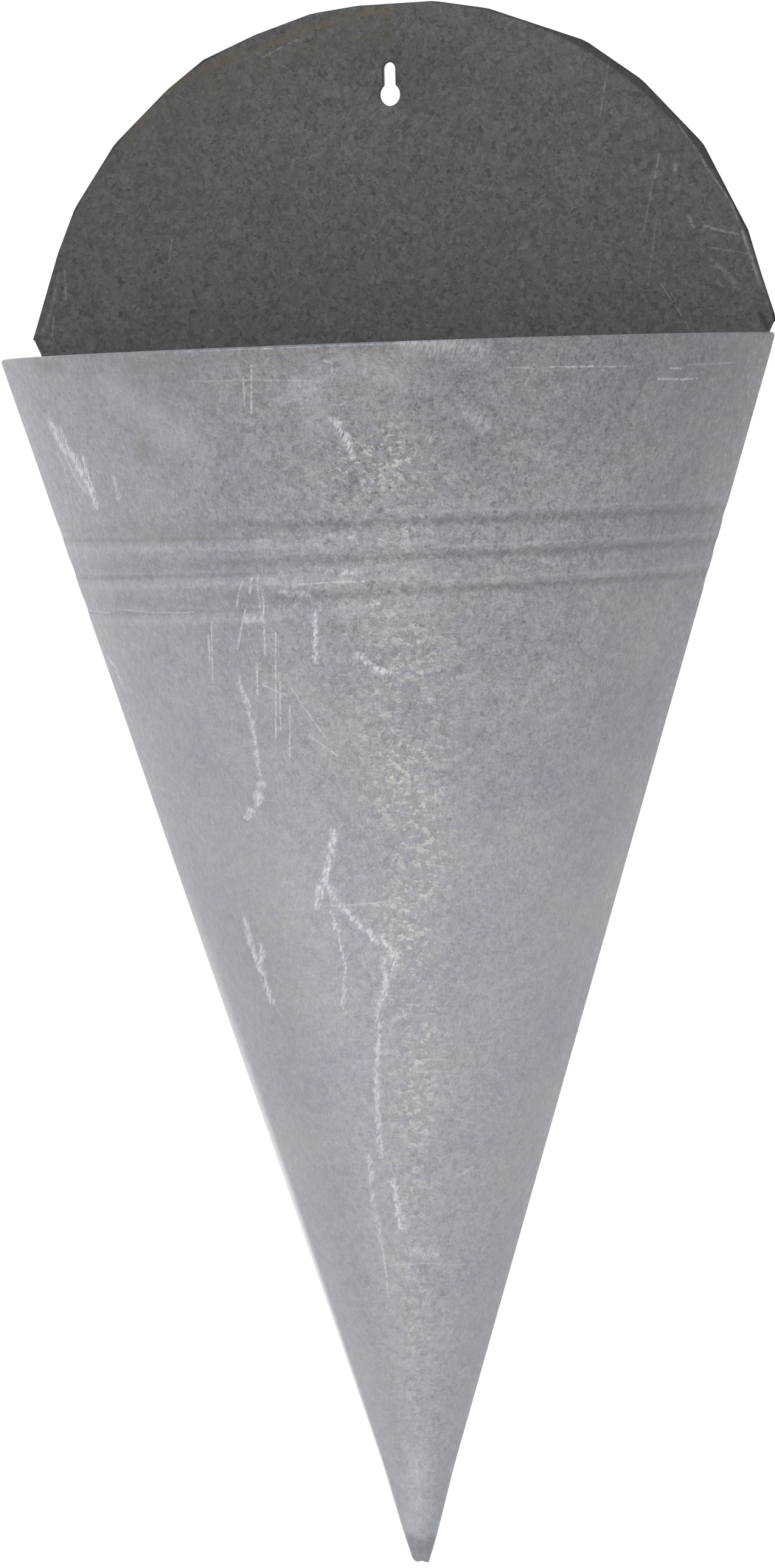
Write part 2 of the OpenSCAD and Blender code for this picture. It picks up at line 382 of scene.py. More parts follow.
class FinishSettings(bpy.types.PropertyGroup):
    blue_zinc: FloatVectorProperty(
        name="Bluish zinc", description="Colour of the cone's zinc where it leans to blue",
        default=linear("#a4a6b0"), subtype="COLOR")
    grey_zinc: FloatVectorProperty(
        name="Grey zinc", description="Colour of the cone's zinc where it leans to a warmer grey",
        default=linear("#a8a8a9"), subtype="COLOR")
    # The panel's zinc is the cone's zinc in painted shade, coloured darker
    dark_blue: FloatVectorProperty(
        name="Bluish panel", description="Colour of the back panel's zinc where it leans to blue",
        default=linear("#505254"), subtype="COLOR")
    dark_grey: FloatVectorProperty(
        name="Grey panel", description="Colour of the back panel's zinc where it leans to green",
        default=linear("#525352"), subtype="COLOR")
    solder: FloatVectorProperty(
        name="Solder", description="Colour of the dull solder",
        default=linear("#8b8e93"), subtype="COLOR")
    # Also the colour of the cone's painted highlights
    chalk_and_highlight: FloatVectorProperty(
        name="Chalk", description="Colour of zinc that is scuffed to a pale powder",
        default=linear("#dcdfe6"), subtype="COLOR")
    # Painted glint on the crystals' edges
    painted_glint: FloatVectorProperty(
        name="Flash", description="Warm white of the crystals' edges where they catch the light",
        default=linear("#e7e2d9"), subtype="COLOR")
    stain: FloatVectorProperty(
        name="Stain", description="Colour of the brown stains",
        default=linear("#7d6c58"), subtype="COLOR")
    # Colour of the painted shade on the cone, and of its dusty grooves
    shade_and_dust: FloatVectorProperty(
        name="Grime", description="Colour of the dust that grooves and corners hold",
        default=linear("#53565a"), subtype="COLOR")
    # Painted reflection of the white room
    painted_sheen: FloatVectorProperty(
        name="Sheen", description="Colour of the white room, which the cone mirrors where it turns away",
        default=linear("#f0edf0"), subtype="COLOR")
    # A darker band along the head's hem, stronger towards its sides
    hem_band: FloatVectorProperty(
        name="Worn band", description="Colour of the band along the head's hem that is worn dark",
        default=linear("#3b3f45"), subtype="COLOR")
    rust: FloatVectorProperty(
        name="Rust", description="Colour of the old rust near the head's edge",
        default=linear("#574e40"), subtype="COLOR")
    # Painted shade on the head's edge and painted shadow at its shoulders
    painted_shadow: FloatVectorProperty(
        name="Dirt", description="Colour of the dark dirt on the head's edge and shoulders",
        default=linear("#232527"), subtype="COLOR")
    crystal: FloatProperty(
        name="Crystal", description="Usual width of one zinc crystal",
        default=4.2 * MM, unit="LENGTH", subtype="DISTANCE")


class StageSettings(bpy.types.PropertyGroup):
    azimuth: FloatProperty(
        name="Azimuth", description="Direction of the camera, to the object's right",
        default=math.radians(21.71), subtype="ANGLE")
    pitch: FloatProperty(
        name="Pitch", description="Angle by which the camera looks down",
        default=math.radians(4.04), subtype="ANGLE")
    roll: FloatProperty(
        name="Roll", description="Angle by which the camera leans",
        default=math.radians(-1.23), subtype="ANGLE")
    position: FloatVectorProperty(
        name="Camera", description="Place of the camera",
        default=(0.7735, -1.9616, -0.1120), subtype="XYZ_LENGTH")
    focal_px: FloatProperty(
        name="Focal length", description="Focal length in pixels of the photograph", default=9113)
    floor_drop: FloatProperty(
        name="Floor", description="Height of the keyhole over the floor",
        default=1.5, unit="LENGTH", subtype="DISTANCE")
    key_power: FloatProperty(
        name="Key light", description="Power of the large soft light above", default=34, unit="POWER")
    low_power: FloatProperty(
        name="Low light", description="Power of the low strip light near the camera",
        default=2.4, unit="POWER")
    room_strength: FloatProperty(
        name="Room light", description="Strength of the even white light from all round", default=0.57)


class WallConeSettings(bpy.types.PropertyGroup):
    sheet: PointerProperty(type=SheetSettings)
    cone: PointerProperty(type=ConeSettings)
    panel: PointerProperty(type=PanelSettings)
    solder: PointerProperty(type=SolderSettings)
    finish: PointerProperty(type=FinishSettings)
    stage: PointerProperty(type=StageSettings)


class Wall:
    """The cone's outer skin: a place on it is s down the slope from the rim and d in from the outside."""

    def __init__(self, settings):
        sheet, cone, panel = settings.sheet, settings.cone, settings.panel
        self.rim_radius = cone.rim_radius
        self.slope = math.atan(cone.rim_radius / cone.height)
        self.slant = cone.rim_radius / math.sin(self.slope)
        self.hem_t = 2 * sheet.thickness + sheet.fold_gap
        self.axis_y = -(sheet.thickness + sheet.fold_gap)
        self.top = self.hem_t / 2
        self.end = self.slant - cone.tip_cut / math.cos(self.slope)
        self.shoulder = Vector((cone.rim_radius + panel.shoulder_out, panel.shoulder_height))
        self.head_r = math.hypot(self.shoulder.x, self.shoulder.y + panel.head_drop)
        self.head_z = cad_high.z - self.head_r
        self.rim_z = self.head_z + panel.head_drop
        self.apex = Vector((0, self.axis_y, self.rim_z - cone.height))
        self.tip_z = self.apex.z + cone.tip_cut

    def at(self, s, d):
        """Distance from the axis and height of a place on the wall."""
        sin, cos = math.sin(self.slope), math.cos(self.slope)
        return self.rim_radius - s * sin - d * cos, self.rim_z + d * sin - s * cos

    def place(self, point):
        """Angle from the front, s and d of a point."""
        out = self.rim_radius - math.hypot(point.x, point.y - self.axis_y)
        down = self.rim_z - point.z
        sin, cos = math.sin(self.slope), math.cos(self.slope)
        turn = math.atan2(point.x, self.axis_y - point.y)
        return turn, out * sin + down * cos, out * cos - down * sin

    def point(self, turn, s, d):
        r, z = self.at(s, d)
        return Vector((r * math.sin(turn), self.axis_y - r * math.cos(turn), z))

    def flat(self, point):
        """Where a point lies on the flat sheet before it was rolled, from the middle of the rim."""
        from_apex = point - self.apex
        reach = from_apex.length
        turn = math.copysign(math.pi / 2, point.x)
        if from_apex.y < 0:
            turn = math.atan2(point.x, -from_apex.y)
        angle = turn * math.sin(self.slope)
        if from_apex.y > 0:
            folded = self.slope - math.atan2(abs(point.x), from_apex.z)
            angle += math.copysign(folded + from_apex.y / reach, point.x)
        return Vector((reach * math.sin(angle), reach * math.cos(angle) - self.slant))


def smooth(value, low, high):
    """Rises smoothly from 0 at low to 1 at high."""
    t = min(1, max(0, (value - low) / (high - low)))
    return t * t * (3 - 2 * t)


def between(places, at):
    """Straight-line value at a place in a rising list of (place, value)."""
    for (a, low), (b, high) in zip(places, places[1:]):
        if at <= b:
            return low + (high - low) * max(0, at - a) / (b - a)
    return places[-1][1]


def finished(name, bm, material, slot, *nodes):
    """Turns a bmesh to a smooth piece with its finish. It rides on the one body and stands for CAD nodes."""
    mesh = bpy.data.meshes.new(name)
    bm.to_mesh(mesh)
    bm.free()
    mesh.materials.append(material)
    mesh.shade_smooth()
    mesh.set_sharp_from_angle(angle=SHARP_ANGLE)
    piece = bpy.data.objects.new(name, mesh)
    bpy.context.scene.collection.objects.link(piece)
    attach(piece, "root")
    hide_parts(*nodes)


def chain(bm, points):
    """Vertices at the points, with an edge from each to the next."""
    verts = [bm.verts.new(p) for p in points]
    return verts, [bm.edges.new(pair) for pair in zip(verts, verts[1:])]


def only(kind, elements):
    """The vertices, edges or faces among the elements that a bmesh operator returns."""
    return [each for each in elements if isinstance(each, kind)]


def face_front(bm, measure):
    """Turns the faces outwards, which is to the front for the face that measures most."""
    bmesh.ops.recalc_face_normals(bm, faces=bm.faces)
    if max(bm.faces, key=measure).normal.y > 0:
        bmesh.ops.reverse_faces(bm, faces=bm.faces)


def camera_matrix(stage):
    turned = Matrix.Rotation(stage.azimuth, 4, "Z") @ Matrix.Rotation(math.pi / 2 - stage.pitch, 4, "X")
    return Matrix.Translation(stage.position) @ turned @ Matrix.Rotation(stage.roll, 4, "Z")


def photo_ray(stage, pixel):
    """Start and direction of the line of sight through a pixel of the photograph."""
    matrix = camera_matrix(stage)
    ahead = Vector((pixel[0] - PHOTO_W / 2, PHOTO_H / 2 - pixel[1], -stage.focal_px))
    return matrix.translation, (matrix.to_3x3() @ ahead).normalized()


def pixel_on_cone(stage, wall, pixel):
    """Place on the cone's flat sheet that a pixel shows, in millimetres."""
    start, ahead = photo_ray(stage, pixel)
    start = start - wall.apex
    k = math.tan(wall.slope) ** 2
    a = ahead.x ** 2 + ahead.y ** 2 - k * ahead.z ** 2
    b = start.x * ahead.x + start.y * ahead.y - k * start.z * ahead.z
    c = start.x ** 2 + start.y ** 2 - k * start.z ** 2
    t = (-b - math.sqrt(max(0, b * b - a * c))) / a
    flat = wall.flat(wall.apex + start + t * ahead)
    return Vector((flat.x, flat.y, 0)) / MM


def pixel_on_head(stage, wall, pixel, share=1):
    """Place on the head's front, or at a share of its thickness, that a pixel shows, in millimetres."""
    start, ahead = photo_ray(stage, pixel)
    seen = start + ahead * ((-share * wall.hem_t - start.y) / ahead.y)
    return Vector((seen.x, 0, seen.z)) / MM


def adder(tree):
    """Gives the function that adds nodes to a tree."""

    def add(kind, *inputs, **settings):
        """Adds a node of a kind, with its mode after a slash. Inputs come in order, or by name or number in
        one dictionary, and each is a value, an output or a node's first output."""
        kind, _, mode = kind.partition("/")
        node = tree.nodes.new("ShaderNode" + kind)
        if mode:
            setattr(node, MODES.get(kind, "operation"), mode)
        for name, value in settings.items():
            setattr(node, name, value)
        given = inputs[0] if inputs and isinstance(inputs[0], dict) else dict(enumerate(inputs))
        for key, value in given.items():
            if isinstance(value, bpy.types.Node):
                value = value.outputs[0]
            if isinstance(value, bpy.types.NodeSocket):
                tree.links.new(value, node.inputs[key])
            else:
                node.inputs[key].default_value = value
        return node

    return add


def new_material(name):
    """A material without nodes, and the function that adds them."""
    material = bpy.data.materials.new(name)
    material.use_nodes = True
    material.node_tree.nodes.clear()
    return material, adder(material.node_tree)


def stroke_group():
    """Node group for one straight stretch of a mark: full on its line, and 0 from its half width out."""
    if "stroke" in bpy.data.node_groups:
        return bpy.data.node_groups["stroke"]
    tree = bpy.data.node_groups.new("stroke", "ShaderNodeTree")
    for name in ("Place", "Start", "Direction"):
        tree.interface.new_socket(name=name, in_out="INPUT", socket_type="NodeSocketVector")
    for name in ("Length", "Half Width", "Strength"):
        tree.interface.new_socket(name=name, in_out="INPUT", socket_type="NodeSocketFloat")
    tree.interface.new_socket(name="Mark", in_out="OUTPUT", socket_type="NodeSocketFloat")
    add = adder(tree)
    given = tree.nodes.new("NodeGroupInput").outputs
    offset = add("VectorMath/SUBTRACT", given["Place"], given["Start"])
    along = add("VectorMath/DOT_PRODUCT", offset, given["Direction"])
    held = add("Clamp", along.outputs["Value"], 0, given["Length"])
    foot = add("VectorMath/SCALE", {0: given["Direction"], "Scale": held})
    aside = add("VectorMath/DISTANCE", offset, foot).outputs["Value"]
    mark = add("MapRange/SMOOTHSTEP", aside, 0, given["Half Width"], given["Strength"], 0)
    result = tree.nodes.new("NodeGroupOutput")
    tree.links.new(mark.outputs[0], result.inputs["Mark"])
    return tree


def marks(add, place, lines):
    """How strong the strongest mark is at a place. Each has its strength, half width and points in mm."""
    group = stroke_group()
    strokes = []
    for strength, half_width, points in lines:
        for start, end in zip(points, points[1:]):
            along = end - start
            given = {
                "Place": place, "Start": start, "Direction": along.normalized(), "Length": along.length,
                "Half Width": half_width, "Strength": strength}
            strokes.append(add("Group", given, node_tree=group))
    strongest = strokes[0]
    for stroke in strokes[1:]:
        strongest = add("Math/MAXIMUM", strongest, stroke)
    return strongest


def placed(lines, locate, stage, wall):
    """Moves the pixels of some marks to the places on the object that they show."""
    return [(strength, width, [locate(stage, wall, p) for p in pixels]) for strength, width, pixels in lines]


def along_grooves(lines, cone, quarter):
    """Marks that follow each of the cone's grooves."""
    return [
        (strength, width, [Vector((x * quarter, groove / MM + offset, 0)) for x in ends])
        for strength, width, offset, *ends in lines for groove in groove_places(cone)]


def crystals(add, place, width):
    """Zinc crystals of one width in millimetres: cells, random numbers, leaf shards and fern grain."""
    rag = add("TexNoise", {"Vector": place, "Scale": 2.2 / width, "Detail": 3.0})
    shift = add("VectorMath/SUBTRACT", rag.outputs["Color"], MIDDLE)
    ragged = add("VectorMath/MULTIPLY_ADD", shift, (1.2 * width,) * 3, place)
    cell = add("TexVoronoi", {"Vector": ragged, "Scale": 1 / width})
    random = add("SeparateColor", cell.outputs["Color"])
    turn = add("Math/MULTIPLY", random.outputs["Green"], math.tau)
    turned = add("VectorRotate/Z_AXIS", {"Vector": ragged, "Angle": turn})
    drawn = add("Mapping", {"Vector": turned, "Scale": (1.0, 0.28, 1.0)})
    shards = add("TexVoronoi", {"Vector": drawn, "Scale": 2.4 / width})
    shard = add("SeparateColor", shards.outputs["Color"])
    fern = add("TexNoise", {"Vector": drawn, "Scale": 6.0 / width, "Detail": 3.0, "Roughness": 0.6})
    return Crystals(width, ragged, cell.outputs, random.outputs, shard.outputs, fern)


def crescents(add, zinc):
    """The upper edges of domed crystals, where the painted glint lies."""
    inside = add("VectorMath/SUBTRACT", zinc.place, zinc.cell["Position"])
    upper = add("VectorMath/DOT_PRODUCT", inside, (0.3 / zinc.width, 1 / zinc.width, 0))
    upper = add("MapRange", upper.outputs["Value"], 0.16, 0.30)
    ring = add("MapRange", zinc.cell["Distance"], 0.33, 0.45, 0, 0.36)
    return add("Math/MULTIPLY", upper, ring)


def summed(add, parts):
    """Sum of some outputs that run from 0 to 1, each less a half and times its weight."""
    total = -sum(weight for _, weight in parts) / 2
    for socket, weight in parts:
        total = add("Math/MULTIPLY_ADD", socket, weight, total)
    return total


def layered(add, colour, layers):
    """Lays colours over a colour, each as strongly as its share says."""
    for share, top in layers:
        colour = add("MixRGB", share, colour, rgba(top))
    return colour


class ConeZinc:
    """Places on the cone in millimetres, on its flat sheet and round it, and its crystals there."""

    def __init__(self, add, crystal, wall):
        flat_map = add("UVMap", uv_map="sheet")
        round_map = add("UVMap", uv_map="turned")
        self.place = add("VectorMath/SCALE", {0: flat_map, "Scale": 1 / MM})
        self.round_place = add("VectorMath/SCALE", {0: round_map, "Scale": 1 / MM})
        split = add("SeparateXYZ", self.round_place)
        self.across, self.down = split.outputs["X"], split.outputs["Y"]
        self.quarter = wall.rim_radius * math.pi / 2 / MM
        self.coarse = crystals(add, self.place, crystal)
        self.fine = crystals(add, self.place, 0.44 * crystal)
        self.patch = add("TexNoise", {"Vector": self.place, "Scale": 1 / 38, "Detail": 4.0, "Roughness": 0.6})


def cone_level(add, zinc, wall):
    """How bright the cone's zinc is: fine upright needles, and crystals that show most in the middle."""
    aside = add("Math/SUBTRACT", zinc.across, 0.34 * zinc.quarter)
    aside = add("Math/ABSOLUTE", aside)
    middle = add("MapRange/SMOOTHSTEP", aside, 0.12 * zinc.quarter, 0.60 * zinc.quarter, 1.5, 0.65)
    lower = add("MapRange", zinc.down, 60, 190, 1, 0.52)
    middle = add("Math/MULTIPLY", middle, lower)
    drawn = add("Mapping", {"Vector": zinc.round_place, "Scale": (1 / 0.7, 1 / 4, 1)})
    needle = add("TexNoise", {"Vector": drawn, "Scale": 1.0, "Detail": 3.0, "Roughness": 0.6})
    grain = add("TexNoise", {"Vector": zinc.place, "Scale": 1 / 0.9, "Detail": 2.0, "Roughness": 0.6})
    spangle = summed(add, (
        (zinc.coarse.random["Red"], 0.07), (zinc.coarse.shard["Red"], 0.20), (zinc.coarse.fern, 0.18),
        (zinc.fine.random["Red"], 0.14), (zinc.fine.shard["Red"], 0.30), (zinc.fine.fern, 0.34)))
    plain = summed(add, ((needle, 0.50), (zinc.patch, 0.20), (grain, 0.24)))
    plain = add("Math/ADD", plain, 1)
    level = add("Math/MULTIPLY_ADD", spangle, middle, plain)

    # Painted shade: the cone is darker towards the rim, in the middle and on the right
    far = add("Math/MULTIPLY_ADD", zinc.patch, 90, zinc.down)
    dull = add("MapRange", far, 45, 265, 0.36, 0)
    side = add("MapRange/SMOOTHSTEP", zinc.across, -0.62 * zinc.quarter, 0.08 * zinc.quarter)
    dull = add("Math/MULTIPLY", dull, side)
    unshaded = add("Math/SUBTRACT", 1, dull)

    # Flux and heat have left the tip darker
    tip = add("Math/MULTIPLY_ADD", zinc.patch, 8, zinc.down)
    tip = add("MapRange/SMOOTHSTEP", tip, wall.end / MM - 10.5, wall.end / MM - 7.0, 1, 0.74)
    for share in (unshaded, tip):
        level = add("Math/MULTIPLY", level, share)
    return level


def cone_dust_and_shade(add, zinc, cone):
    """How strongly painted shade lies on the cone: most in its dusty grooves, softly in a few wide zones."""
    zones = [
        (strength, width, [Vector((x * zinc.quarter, down, 0)) for x, down in ends])
        for strength, width, ends in CONE_SHADE]
    dust_and_shade = marks(add, zinc.round_place, along_grooves(GROOVE_DUST_AND_SHADE, cone, zinc.quarter) + zones)
    broken = add("MapRange", zinc.coarse.fern, 0.3, 0.6, 0.55)
    return add("Math/MULTIPLY", dust_and_shade, broken)


def cone_wear_and_ridge_light(add, zinc, settings, wall):
    """How worn the cone is: chalky smears, crumbling scratches, and painted highlights along its grooves."""
    hatch = add("Mapping/TEXTURE", {
        "Vector": zinc.place, "Rotation": (0, 0, math.radians(-28)), "Scale": (0.8, 4.0, 1)})
    hatch = add("TexNoise", {"Vector": hatch, "Scale": 1.0, "Detail": 3.0, "Roughness": 0.65})
    hatch = add("MapRange", hatch, 0.40, 0.54)
    wander = add("TexNoise", {"Vector": zinc.place, "Scale": 1 / 2.4, "Detail": 3.0, "Roughness": 0.6})
    wander = add("VectorMath/SUBTRACT", wander.outputs["Color"], MIDDLE)
    rough_place = add("VectorMath/MULTIPLY_ADD", wander, (5.0,) * 3, zinc.place)
    fine_place = add("VectorMath/MULTIPLY_ADD", wander, (0.7,) * 3, zinc.place)
    smear = marks(add, rough_place, placed(CONE_CHALK, pixel_on_cone, settings.stage, wall))
    smear = add("Math/MULTIPLY", smear, hatch)
    crumb = add("TexNoise", {"Vector": zinc.place, "Scale": 1 / 1.6, "Detail": 3.0, "Roughness": 0.7})
    crumb = add("MapRange", crumb, 0.36, 0.54)
    thin = marks(add, fine_place, placed(CONE_SCRATCHES, pixel_on_cone, settings.stage, wall))
    # Painted highlights along the grooves' ridges, laid in with the scratches
    line = marks(add, zinc.round_place, along_grooves(GROOVE_HIGHLIGHTS, settings.cone, zinc.quarter))
    thin = add("Math/MAXIMUM", thin, line)
    thin = add("Math/MULTIPLY", thin, crumb)
    return add("Math/MAXIMUM", smear, thin)


def cone_painted_glint(add, zinc, cone):
    """Painted glint on crystals' edges, in the band that faces the light. It leans left at the top."""
    centre = add("MapRange/SMOOTHSTEP", zinc.down, 60, 140, 0.205 * zinc.quarter, 0.255 * zinc.quarter)
    off = add("Math/SUBTRACT", zinc.across, centre)
    off = add("Math/ABSOLUTE", off)
    band = add("MapRange/SMOOTHSTEP", off, 0.02 * zinc.quarter, 0.17 * zinc.quarter, 1, 0)
    above = add("MapRange", zinc.down, 20, 40)
    below = add("MapRange", zinc.down, 230, 420, 1, 0.25)
    chosen = add("MapRange", zinc.fine.random["Blue"], 0.52, 0.60)
    patchy = add("MapRange", zinc.patch, 0.38, 0.56, 0.55)
    middle_groove = cone.groove_first + (cone.groove_count - 1) / 2 * cone.groove_pitch
    pressed = add("Math/SUBTRACT", zinc.down, middle_groove / MM)
    pressed = add("Math/ABSOLUTE", pressed)
    pressed = add("MapRange", pressed, 18, 34, 0.4)
    painted_glint = add("Math/MAXIMUM", crescents(add, zinc.fine), crescents(add, zinc.coarse))
    for limit in (band, above, below, chosen, patchy, pressed):
        painted_glint = add("Math/MULTIPLY", painted_glint, limit)
    return painted_glint


def cone_painted_sheen(add, zinc):
    """Painted reflection of the white room, where the sheet turns from the eye, low down on the left."""
    grazing = add("LayerWeight")
    painted_sheen = add("MapRange", grazing.outputs["Facing"], 0.72, 0.86)
    left = add("MapRange", zinc.across, -20, 0, 0.90, 0.20)
    low = add("MapRange", zinc.down, 200, 330)
    for limit in (left, low):
        painted_sheen = add("Math/MULTIPLY", painted_sheen, limit)
    return painted_sheen


def cone_relief(add, zinc):
    """Each crystal leans its own way and is domed, so that its edge flashes where the light suits it."""
    normal = add("NewGeometry").outputs["Normal"]
    for crystal, lean in ((zinc.coarse, 0.10), (zinc.fine, 0.12)):
        tilt = add("VectorMath/SUBTRACT", crystal.cell["Color"], MIDDLE)
        normal = add("VectorMath/MULTIPLY_ADD", tilt, (lean,) * 3, normal)
    normal = add("VectorMath/NORMALIZE", normal)
    dome = add("Math/MULTIPLY_ADD", zinc.fine.cell["Distance"], -0.6, zinc.fine.fern)
    return add("Bump", {"Height": dome, "Distance": 0.16 * MM, "Strength": 0.4, "Normal": normal})


def spangled_zinc(settings, wall):
    """Hot-dip galvanised sheet: zinc froze on the steel in crystals, each with its own grain and shine."""
    finish, stage = settings.finish, settings.stage
    material, add = new_material("galvanised_spangle")
    zinc = ConeZinc(add, finish.crystal / MM, wall)
    hue = add("TexNoise", {"Vector": zinc.place, "Scale": 1 / 4, "Detail": 4.0, "Roughness": 0.7})
    hue = summed(add, ((hue, 1.3), (zinc.patch, 0.8)))
    hue = add("MapRange", hue, -0.3, 0.3)
    tint = add("MixRGB", hue, rgba(finish.blue_zinc), rgba(finish.grey_zinc))
    shade = add("MixRGB/MULTIPLY", 1, tint, cone_level(add, zinc, wall))
    # Wear, with the painted highlights along the grooves' ridges
    worn = cone_wear_and_ridge_light(add, zinc, settings, wall)
    base = layered(add, shade, (
        # Painted shade, in grooves that are dusty too
        (cone_dust_and_shade(add, zinc, settings.cone), finish.shade_and_dust),
        (marks(add, zinc.place, placed(CONE_STAINS, pixel_on_cone, stage, wall)), finish.stain),
        # Painted highlights as soft pale clouds
        (marks(add, zinc.place, placed(CONE_SHEEN_CLOUDS, pixel_on_cone, stage, wall)), finish.chalk_and_highlight),
        # Painted glint
        (cone_painted_glint(add, zinc, settings.cone), finish.painted_glint),
        # Painted reflection of the white room
        (cone_painted_sheen(add, zinc), finish.painted_sheen),
        # Wear, with painted highlights along the grooves' ridges
        (worn, finish.chalk_and_highlight)))
    gloss = add("MapRange", zinc.fine.random["Blue"], 0.55, 0.90, 0.50, 0.33)
    rough = add("Math/MULTIPLY_ADD", worn, 0.3, gloss)
    relief = cone_relief(add, zinc)
    shader = add("BsdfPrincipled", {
        "Base Color": base, "Metallic": 0.45, "Roughness": rough, "Normal": relief})
    add("OutputMaterial", shader)
    return material


def panel_shade(add, place, zinc, finish):
    """Colour of the panel's zinc in painted shade, with faint crystals and dark flecks."""
    fleck = add("TexNoise", {"Vector": place, "Scale": 1 / 1.9, "Detail": 2.0, "Roughness": 0.55})
    dark = add("MapRange", fleck, 0.30, 0.47, 0.80)
    leaf = add("MapRange", zinc.shard["Green"], 0.70, 0.90, 1, 0.70)
    dark = add("Math/MULTIPLY", dark, leaf)
    patch = add("TexNoise", {"Vector": place, "Scale": 1 / 40, "Detail": 4.0, "Roughness": 0.6})
    level = summed(add, (
        (zinc.random["Red"], 0.16), (zinc.shard["Red"], 0.36), (zinc.fern, 0.50), (patch, 0.16)))
    level = add("Math/ADD", level, 1)
    level = add("Math/MULTIPLY", level, dark)
    hue = add("TexNoise", {"Vector": place, "Scale": 1 / 6, "Detail": 4.0, "Roughness": 0.7})
    hue = add("MapRange", hue, 0.38, 0.62)
    tint = add("MixRGB", hue, rgba(finish.dark_blue), rgba(finish.dark_grey))
    return add("MixRGB/MULTIPLY", 1, tint, level)


def head_edge(add, place, panel, wall):
    """Shares of a dark band along the head's hem, of painted shade on its edge, and streaks round it."""
    centred = add("VectorMath/SUBTRACT", place, (0, 0, wall.head_z / MM))
    split = add("SeparateXYZ", centred)
    flat = add("VectorMath/MULTIPLY", centred, (1, 0, 1))
    reach = add("VectorMath/LENGTH", flat).outputs["Value"]
    depth = add("Math/SUBTRACT", wall.head_r / MM, reach)
    angle = add("Math/ARCTAN2", split.outputs["X"], split.outputs["Z"])
    hem = panel.hem / MM
    # A darker band along the hem, stronger towards the sides
    band = add("MapRange/SMOOTHSTEP", depth, hem - 1.2, hem + 0.6, 0.20, 0)
    leaning = add("Math/ABSOLUTE", angle)
    leaning = add("MapRange", leaning, math.radians(25), math.radians(75), 0.25)
    neck = panel.head_drop + panel.neck_height
    above = add("MapRange", split.outputs["Z"], panel.head_drop / MM, neck / MM)
    leaning = add("Math/MULTIPLY", leaning, above)
    band = add("Math/MULTIPLY", band, leaning)
    # Painted shade on the rolled edge
    edge = add("MapRange", depth, 0.5, 1.5, 0.65, 0)
    edge = add("Math/MULTIPLY", edge, above)
    ring = add("CombineXYZ", depth, angle)
    streak = add("Mapping", {"Vector": ring, "Scale": (1 / 1.3, 7.0, 1)})
    streak = add("TexNoise", {"Vector": streak, "Scale": 1.0, "Detail": 3.0, "Roughness": 0.6})
    streak = add("MapRange", streak, 0.34, 0.60)
    return band, edge, streak


def weathered_zinc(settings, wall):
    """Galvanised sheet in painted shade: its zinc is coloured dark and is dull, with rust near an edge."""
    finish, stage = settings.finish, settings.stage
    material, add = new_material("weathered_galvanising_in_painted_shade")
    source = add("TexCoord")
    place = add("VectorMath/SCALE", {0: source.outputs["Object"], "Scale": 1 / MM})
    flat_place = add("VectorMath/MULTIPLY", place, (1, 0, 1))
    upright = add("VectorRotate/X_AXIS", {"Vector": place, "Angle": math.pi / 2})
    zinc = crystals(add, upright, 0.66 * finish.crystal / MM)
    band, edge, streak = head_edge(add, place, settings.panel, wall)
    rust = marks(add, flat_place, placed(HEAD_RUST, pixel_on_head, stage, wall))
    rust = add("Math/MULTIPLY", rust, streak)

    # Painted shadow at the shoulders and the scratches lie on the front only
    facing = add("SeparateXYZ", source.outputs["Normal"])
    front = add("MapRange", facing.outputs["Y"], -0.5, 0, 1, 0)
    shoulder_shadow = marks(add, flat_place, placed(HEAD_SHOULDER_SHADOWS, pixel_on_head, stage, wall))
    shoulder_shadow = add("Math/MULTIPLY", shoulder_shadow, front)
    crumb = add("TexNoise", {"Vector": place, "Scale": 1 / 1.4, "Detail": 3.0, "Roughness": 0.7})
    crumb = add("MapRange", crumb, 0.34, 0.62)
    crumb = add("Math/MULTIPLY", crumb, front)
    thin = marks(add, flat_place, placed(HEAD_SCRATCHES, pixel_on_head, stage, wall))
    thin = add("Math/MULTIPLY", thin, crumb)

    # Over the zinc: a dark band along the hem, painted shade on the edge, rust, painted shadow at the
    # shoulders and scratches
    base = layered(add, panel_shade(add, place, zinc, finish), (
        (band, finish.hem_band), (edge, finish.painted_shadow), (rust, finish.rust), (shoulder_shadow, finish.painted_shadow),
        (thin, finish.chalk_and_highlight)))
    relief = add("Bump", {"Height": zinc.fern, "Distance": 0.10 * MM, "Strength": 0.4})
    rough = add("MapRange", zinc.shard["Blue"], 0, 1, 0.50, 0.64)
    shader = add("BsdfPrincipled", {
        "Base Color": base, "Metallic": 0.35, "Roughness": rough, "Specular IOR Level": 0.25,
        "Normal": relief})
    add("OutputMaterial", shader)
    return material


